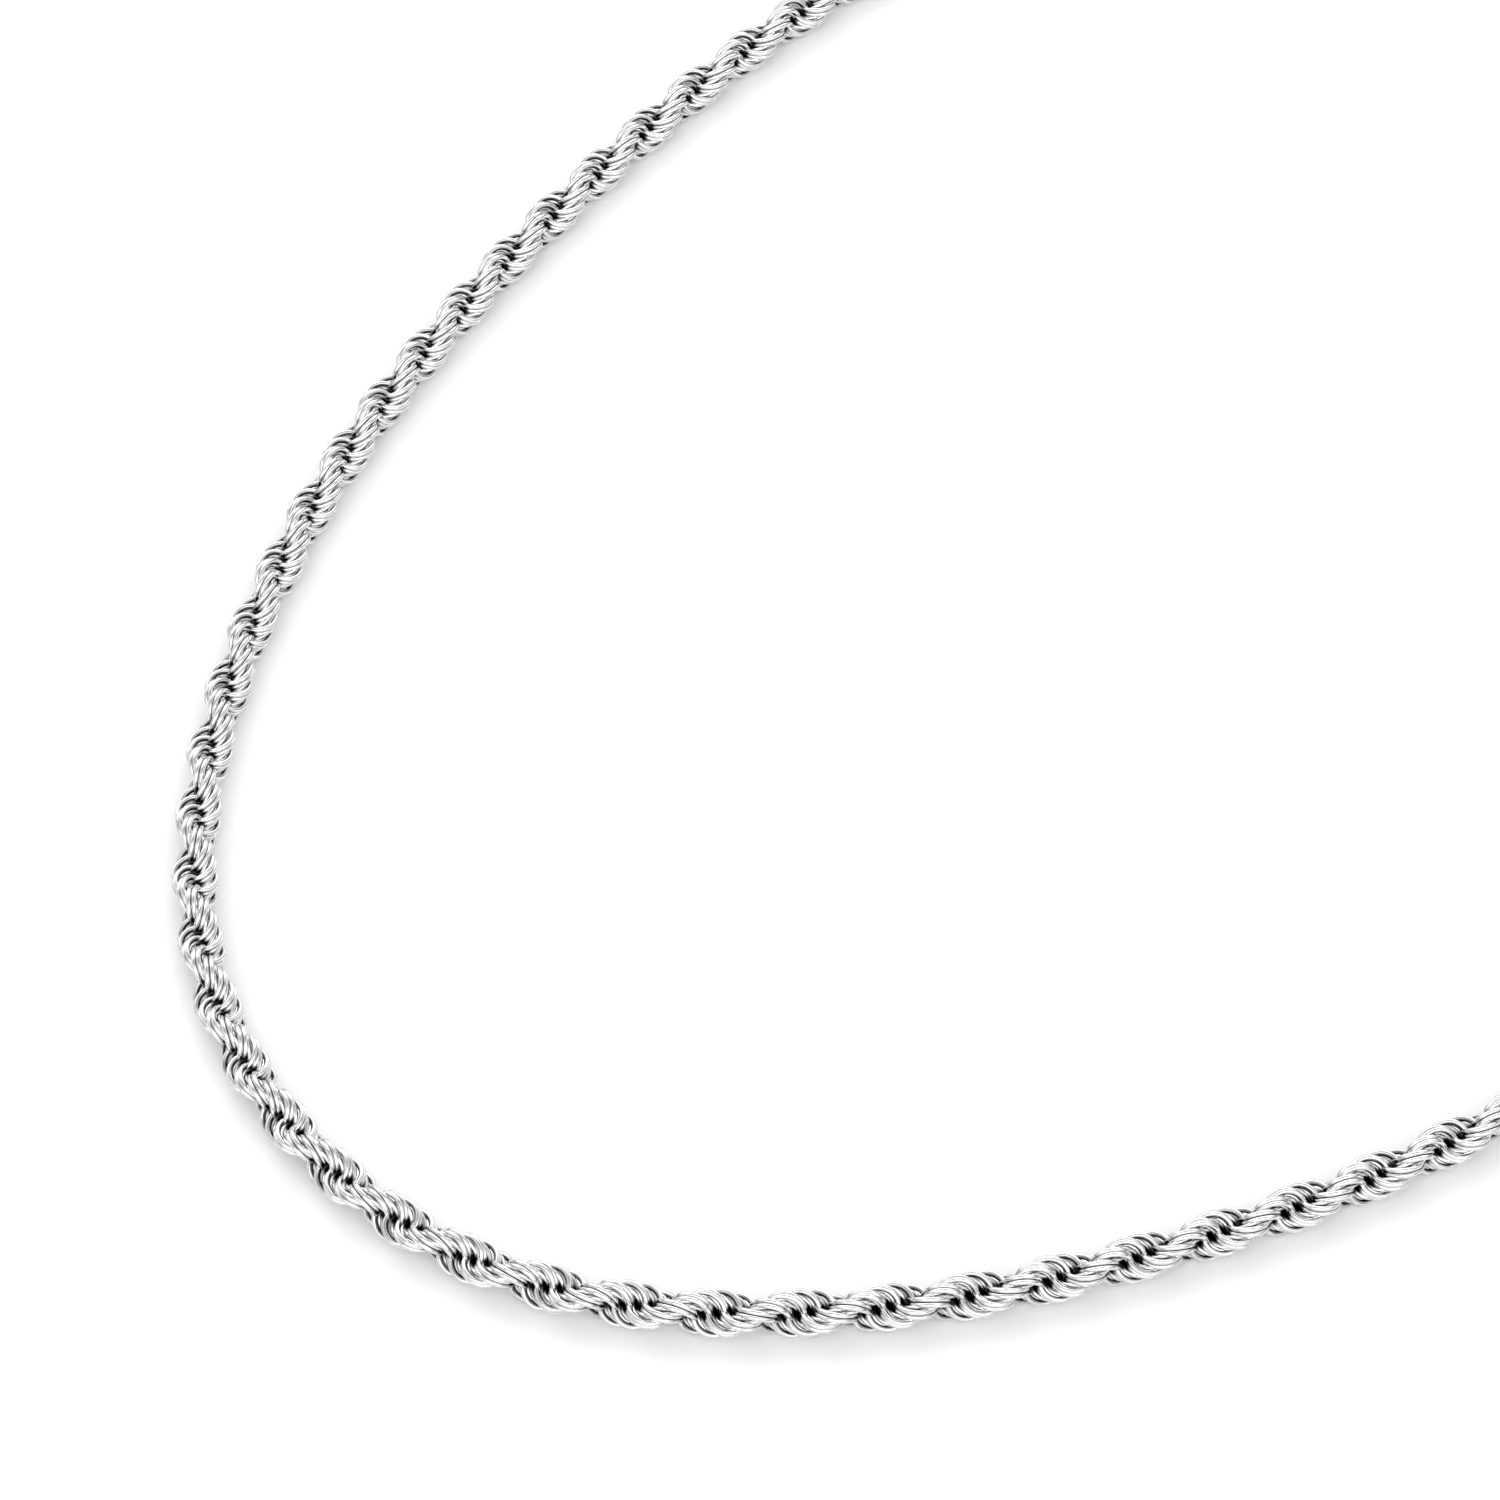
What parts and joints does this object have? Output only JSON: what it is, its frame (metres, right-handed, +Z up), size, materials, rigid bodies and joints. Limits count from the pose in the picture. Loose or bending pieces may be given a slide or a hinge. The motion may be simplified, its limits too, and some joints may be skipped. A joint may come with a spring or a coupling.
{
  "type": "chain necklace",
  "caption": "Twisted rope-chain necklace of polished steel, laid flat and unfastened, with turned end caps, a jump ring, a sprung lobster clasp and a catch ring.",
  "frame": {"origin": "middle of the necklace's footprint in plan, on the surface that it lies on", "axes": "+Z up; +Y along the necklace, from the front of the loop to the clasp at the back; +X to the right, towards the end with the catch ring"},
  "size_m": [0.1072, 0.2032, 0.0042],
  "materials": {
    "rope_steel": "polished wire, worn to fine hairlines on the crests",
    "cap_steel": "turned and polished",
    "ring_steel": "polished wire",
    "clasp_steel": "cast and polished",
    "spring_steel": "drawn spring wire"
  },
  "bodies": {
    "chain_front": {"chain_front": "rope_steel"},
    "chain_left_01": {"chain_left_01": "rope_steel"},
    "chain_left_02": {"chain_left_02": "rope_steel"},
    "chain_left_03": {"chain_left_03": "rope_steel"},
    "chain_left_04": {"chain_left_04": "rope_steel"},
    "chain_left_05": {"chain_left_05": "rope_steel"},
    "chain_left_06": {"chain_left_06": "rope_steel"},
    "chain_left_07": {"chain_left_07": "rope_steel"},
    "chain_left_08": {"chain_left_08": "rope_steel"},
    "chain_left_09": {"chain_left_09": "rope_steel"},
    "chain_left_10": {"chain_left_10": "rope_steel"},
    "chain_left_11": {"chain_left_11": "rope_steel"},
    "chain_left_12": {"chain_left_12": "rope_steel"},
    "chain_left_13": {"chain_left_13": "rope_steel"},
    "chain_left_14": {"chain_left_14": "rope_steel"},
    "chain_left_15": {"chain_left_15": "rope_steel"},
    "chain_left_16": {"chain_left_16": "rope_steel"},
    "chain_left_17": {"chain_left_17": "rope_steel"},
    "chain_left_18": {"chain_left_18": "rope_steel"},
    "chain_left_19": {"chain_left_19": "rope_steel"},
    "chain_left_20": {"chain_left_20": "rope_steel"},
    "chain_left_21": {"chain_left_21": "rope_steel"},
    "chain_left_22": {"chain_left_22": "rope_steel", "left_end_cap": "cap_steel"},
    "chain_right_01": {"chain_right_01": "rope_steel"},
    "chain_right_02": {"chain_right_02": "rope_steel"},
    "chain_right_03": {"chain_right_03": "rope_steel"},
    "chain_right_04": {"chain_right_04": "rope_steel"},
    "chain_right_05": {"chain_right_05": "rope_steel"},
    "chain_right_06": {"chain_right_06": "rope_steel"},
    "chain_right_07": {"chain_right_07": "rope_steel"},
    "chain_right_08": {"chain_right_08": "rope_steel"},
    "chain_right_09": {"chain_right_09": "rope_steel"},
    "chain_right_10": {"chain_right_10": "rope_steel"},
    "chain_right_11": {"chain_right_11": "rope_steel"},
    "chain_right_12": {"chain_right_12": "rope_steel"},
    "chain_right_13": {"chain_right_13": "rope_steel"},
    "chain_right_14": {"chain_right_14": "rope_steel"},
    "chain_right_15": {"chain_right_15": "rope_steel"},
    "chain_right_16": {"chain_right_16": "rope_steel"},
    "chain_right_17": {"chain_right_17": "rope_steel"},
    "chain_right_18": {"chain_right_18": "rope_steel"},
    "chain_right_19": {"chain_right_19": "rope_steel"},
    "chain_right_20": {"chain_right_20": "rope_steel"},
    "chain_right_21": {"chain_right_21": "rope_steel"},
    "chain_right_22": {"chain_right_22": "rope_steel", "right_end_cap": "cap_steel"},
    "clasp_jump_ring": {"clasp_jump_ring": "ring_steel"},
    "clasp_body": {"clasp_body": "clasp_steel", "clasp_pivot_pin": "ring_steel", "clasp_spring": "spring_steel"},
    "clasp_lever": {"clasp_lever": "clasp_steel"},
    "catch_ring": {"catch_ring": "ring_steel"}
  },
  "joints": [
    {"name": "clasp_lever_press", "type": "hinge", "parent": "clasp_body", "child": "clasp_lever", "pos_m": [-0.00935, 0.09774, 0], "axis": [0, 0, -1], "range_deg": [0, 25], "stiffness_Nm_per_rad": 0.0008, "springref_deg": -34.38},
    {"name": "clasp_body_swivel", "type": "hinge", "parent": "clasp_jump_ring", "child": "clasp_body", "pos_m": [-0.0129, 0.09499, 0.0014], "axis": [0, 0, 1], "range_deg": [-50, 50]},
    {"name": "clasp_jump_ring_swing", "type": "hinge", "parent": "chain_left_22", "child": "clasp_jump_ring", "pos_m": [-0.01663, 0.09403, 0.0021], "axis": [-0.1896, 0.4948, 0.848], "range_deg": [-40, 40]},
    {"name": "catch_ring_swing", "type": "hinge", "parent": "chain_right_22", "child": "catch_ring", "pos_m": [0.01514, 0.09684, 0.0021], "axis": [-0.3, -0.9539, 0], "range_deg": [-85, 50]},
    {"name": "left_bend_01", "type": "hinge", "parent": "chain_front", "child": "chain_left_01", "pos_m": [0.00116, -0.09974, 0.0015], "axis": [0.1487, 0.9889, 0], "range_deg": [-40, 40]},
    {"name": "right_bend_01", "type": "hinge", "parent": "chain_front", "child": "chain_right_01", "pos_m": [0.01148, -0.09981, 0.0015], "axis": [-0.1381, 0.9904, 0], "range_deg": [-40, 40]},
    {"name": "left_bend_02", "type": "hinge", "parent": "chain_left_01", "child": "chain_left_02", "pos_m": [-0.00875, -0.09682, 0.0015], "axis": [0.2911, 0.6444, -0.7071], "range_deg": [-40, 40]},
    {"name": "right_bend_02", "type": "hinge", "parent": "chain_right_01", "child": "chain_right_02", "pos_m": [0.02137, -0.09688, 0.0015], "axis": [-0.3019, 0.6394, -0.7071], "range_deg": [-40, 40]},
    {"name": "left_bend_03", "type": "hinge", "parent": "chain_left_02", "child": "chain_left_03", "pos_m": [-0.01756, -0.09142, 0.0015], "axis": [-0.4363, -0.5564, -0.7071], "range_deg": [-40, 40]},
    {"name": "right_bend_03", "type": "hinge", "parent": "chain_right_02", "child": "chain_right_03", "pos_m": [0.02996, -0.09114, 0.0015], "axis": [0.472, -0.5265, -0.7071], "range_deg": [-40, 40]},
    {"name": "left_bend_04", "type": "hinge", "parent": "chain_left_03", "child": "chain_left_04", "pos_m": [-0.02502, -0.08425, 0.0015], "axis": [-0.5355, -0.4618, 0.7071], "range_deg": [-40, 40]},
    {"name": "right_bend_04", "type": "hinge", "parent": "chain_right_03", "child": "chain_right_04", "pos_m": [0.03669, -0.08331, 0.0015], "axis": [0.5867, -0.3947, 0.7071], "range_deg": [-40, 40]},
    {"name": "left_bend_05", "type": "hinge", "parent": "chain_left_04", "child": "chain_left_05", "pos_m": [-0.03115, -0.07592, 0.0015], "axis": [-0.5974, -0.3784, -0.7071], "range_deg": [-40, 40]},
    {"name": "right_bend_05", "type": "hinge", "parent": "chain_right_04", "child": "chain_right_05", "pos_m": [0.04169, -0.07425, 0.0015], "axis": [0.6429, -0.2944, -0.7071], "range_deg": [-40, 40]},
    {"name": "left_bend_06", "type": "hinge", "parent": "chain_left_05", "child": "chain_left_06", "pos_m": [-0.03617, -0.06686, 0.0015], "axis": [-0.6358, -0.3095, 0.7071], "range_deg": [-40, 40]},
    {"name": "right_bend_06", "type": "hinge", "parent": "chain_right_05", "child": "chain_right_06", "pos_m": [0.04547, -0.06461, 0.0015], "axis": [0.6696, -0.2271, 0.7071], "range_deg": [-40, 40]},
    {"name": "left_bend_07", "type": "hinge", "parent": "chain_left_06", "child": "chain_left_07", "pos_m": [-0.04029, -0.05736, 0.0015], "axis": [0.6599, 0.2542, 0.7071], "range_deg": [-40, 40]},
    {"name": "right_bend_07", "type": "hinge", "parent": "chain_right_06", "child": "chain_right_07", "pos_m": [0.04843, -0.05468, 0.0015], "axis": [-0.6855, 0.1735, 0.7071], "range_deg": [-40, 40]},
    {"name": "left_bend_08", "type": "hinge", "parent": "chain_left_07", "child": "chain_left_08", "pos_m": [-0.04367, -0.04757, 0.0015], "axis": [0.6757, 0.2084, -0.7071], "range_deg": [-40, 40]},
    {"name": "right_bend_08", "type": "hinge", "parent": "chain_right_07", "child": "chain_right_08", "pos_m": [0.05046, -0.04453, 0.0015], "axis": [-0.6995, 0.1033, -0.7071], "range_deg": [-40, 40]},
    {"name": "left_bend_09", "type": "hinge", "parent": "chain_left_08", "child": "chain_left_09", "pos_m": [-0.0464, -0.03758, 0.0015], "axis": [-0.6879, -0.1638, -0.7071], "range_deg": [-40, 40]},
    {"name": "right_bend_09", "type": "hinge", "parent": "chain_right_08", "child": "chain_right_09", "pos_m": [0.05152, -0.03422, 0.0015], "axis": [0.7058, -0.0435, -0.7071], "range_deg": [-40, 40]},
    {"name": "left_bend_10", "type": "hinge", "parent": "chain_left_09", "child": "chain_left_10", "pos_m": [-0.04843, -0.02742, 0.0015], "axis": [-0.6984, -0.1108, 0.7071], "range_deg": [-40, 40]},
    {"name": "right_bend_10", "type": "hinge", "parent": "chain_right_09", "child": "chain_right_10", "pos_m": [0.05186, -0.02387, 0.0015], "axis": [0.7071, -0.0085, 0.7071], "range_deg": [-40, 40]},
    {"name": "left_bend_11", "type": "hinge", "parent": "chain_left_10", "child": "chain_left_11", "pos_m": [-0.0496, -0.01713, 0.0015], "axis": [0.7051, 0.0527, 0.7071], "range_deg": [-40, 40]},
    {"name": "right_bend_11", "type": "hinge", "parent": "chain_right_10", "child": "chain_right_11", "pos_m": [0.0519, -0.01351, 0.0015], "axis": [-0.7071, 0, 0.7071], "range_deg": [-40, 40]},
    {"name": "left_bend_12", "type": "hinge", "parent": "chain_left_11", "child": "chain_left_12", "pos_m": [-0.0501, -0.00678, 0.0015], "axis": [0.7068, 0.0199, -0.7071], "range_deg": [-40, 40]},
    {"name": "right_bend_12", "type": "hinge", "parent": "chain_right_11", "child": "chain_right_12", "pos_m": [0.05188, -0.00315, 0.0015], "axis": [-0.7071, -0.0025, -0.7071], "range_deg": [-40, 40]},
    {"name": "left_bend_13", "type": "hinge", "parent": "chain_left_12", "child": "chain_left_13", "pos_m": [-0.05036, 0.00357, 0.0015], "axis": [0.7068, 0.0223, 0.7071], "range_deg": [-40, 40]},
    {"name": "right_bend_13", "type": "hinge", "parent": "chain_right_12", "child": "chain_right_13", "pos_m": [0.05188, 0.00721, 0.0015], "axis": [-0.7071, 0.0037, 0.7071], "range_deg": [-40, 40]},
    {"name": "left_bend_14", "type": "hinge", "parent": "chain_left_13", "child": "chain_left_14", "pos_m": [-0.05085, 0.01392, 0.0015], "axis": [0.7059, 0.0421, -0.7071], "range_deg": [-40, 40]},
    {"name": "right_bend_14", "type": "hinge", "parent": "chain_right_13", "child": "chain_right_14", "pos_m": [0.052, 0.01757, 0.0015], "axis": [-0.707, 0.0112, -0.7071], "range_deg": [-40, 40]},
    {"name": "left_bend_15", "type": "hinge", "parent": "chain_left_14", "child": "chain_left_15", "pos_m": [-0.05151, 0.02426, 0.0015], "axis": [-0.7057, -0.0438, -0.7071], "range_deg": [-40, 40]},
    {"name": "right_bend_15", "type": "hinge", "parent": "chain_right_14", "child": "chain_right_15", "pos_m": [0.05212, 0.02792, 0.0015], "axis": [0.7071, -0.002, -0.7071], "range_deg": [-40, 40]},
    {"name": "left_bend_16", "type": "hinge", "parent": "chain_left_15", "child": "chain_left_16", "pos_m": [-0.05202, 0.0346, 0.0015], "axis": [-0.7067, -0.0228, 0.7071], "range_deg": [-40, 40]},
    {"name": "right_bend_16", "type": "hinge", "parent": "chain_right_15", "child": "chain_right_16", "pos_m": [0.05198, 0.03828, 0.0015], "axis": [0.7067, 0.0239, 0.7071], "range_deg": [-40, 40]},
    {"name": "left_bend_17", "type": "hinge", "parent": "chain_left_16", "child": "chain_left_17", "pos_m": [-0.05203, 0.04496, 0.0015], "axis": [0.7066, -0.0276, 0.7071], "range_deg": [-40, 40]},
    {"name": "right_bend_17", "type": "hinge", "parent": "chain_right_16", "child": "chain_right_17", "pos_m": [0.05133, 0.04862, 0.0015], "axis": [-0.7038, -0.0682, 0.7071], "range_deg": [-40, 40]},
    {"name": "left_bend_18", "type": "hinge", "parent": "chain_left_17", "child": "chain_left_18", "pos_m": [-0.05104, 0.05527, 0.0015], "axis": [0.6979, -0.1138, -0.7071], "range_deg": [-40, 40]},
    {"name": "right_bend_18", "type": "hinge", "parent": "chain_right_17", "child": "chain_right_18", "pos_m": [0.04988, 0.05887, 0.0015], "axis": [-0.694, -0.1357, -0.7071], "range_deg": [-40, 40]},
    {"name": "left_bend_19", "type": "hinge", "parent": "chain_left_18", "child": "chain_left_19", "pos_m": [-0.04849, 0.06529, 0.0015], "axis": [-0.6651, 0.2402, -0.7071], "range_deg": [-40, 40]},
    {"name": "right_bend_19", "type": "hinge", "parent": "chain_right_18", "child": "chain_right_19", "pos_m": [0.04718, 0.06886, 0.0015], "axis": [0.6656, 0.2387, -0.7071], "range_deg": [-40, 40]},
    {"name": "left_bend_20", "type": "hinge", "parent": "chain_left_19", "child": "chain_left_20", "pos_m": [-0.04398, 0.0746, 0.0015], "axis": [-0.6004, 0.3735, 0.7071], "range_deg": [-40, 40]},
    {"name": "right_bend_20", "type": "hinge", "parent": "chain_right_19", "child": "chain_right_20", "pos_m": [0.04278, 0.07822, 0.0015], "axis": [0.6063, 0.364, 0.7071], "range_deg": [-40, 40]},
    {"name": "left_bend_21", "type": "hinge", "parent": "chain_left_20", "child": "chain_left_21", "pos_m": [-0.03757, 0.08271, 0.00151], "axis": [-0.4922, 0.5077, -0.7071], "range_deg": [-40, 40]},
    {"name": "right_bend_21", "type": "hinge", "parent": "chain_right_20", "child": "chain_right_21", "pos_m": [0.03646, 0.0864, 0.00151], "axis": [0.4935, 0.5065, -0.7071], "range_deg": [-40, 40]},
    {"name": "left_bend_22", "type": "hinge", "parent": "chain_left_21", "child": "chain_left_22", "pos_m": [-0.02923, 0.08878, 0.00183], "axis": [-0.3533, 0.6132, 0.7065], "range_deg": [-40, 40]},
    {"name": "right_bend_22", "type": "hinge", "parent": "chain_right_21", "child": "chain_right_22", "pos_m": [0.02802, 0.09231, 0.00183], "axis": [0.327, 0.6276, 0.7065], "range_deg": [-40, 40]}
  ]
}
